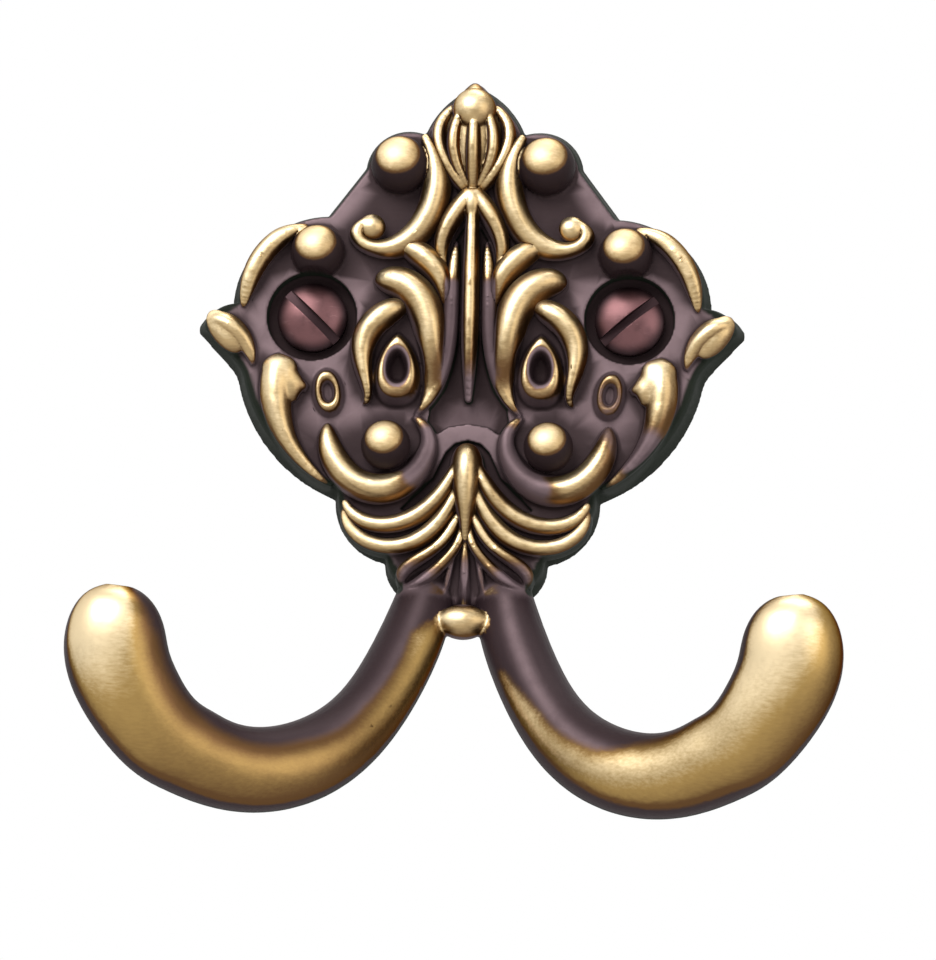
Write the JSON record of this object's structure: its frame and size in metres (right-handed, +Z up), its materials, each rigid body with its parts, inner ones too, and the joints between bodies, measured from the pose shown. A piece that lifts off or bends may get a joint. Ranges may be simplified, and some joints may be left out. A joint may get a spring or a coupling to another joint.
{
  "type": "coat hook",
  "caption": "Double coat hook: a carved scroll and leaf backplate cast in one with two rounded arms that sweep down, out and up, fixed to the wall with slotted wood screws.",
  "frame": {"origin": "on the flat back of the plate, half way between the two screw holes", "axes": "+Z up the wall, +Y into the wall, +X to the right seen from the front; the arms reach towards -Y"},
  "size_m": [0.0876, 0.0576, 0.0907],
  "materials": {
    "antique_bronze": "dark bronze patina, rubbed back to satin brass on the raised parts",
    "bronzed_screw": "satin dark bronze plating"
  },
  "bodies": {
    "root": {"hook_casting": "antique_bronze", "mounting_screws": "bronzed_screw"}
  },
  "joints": []
}
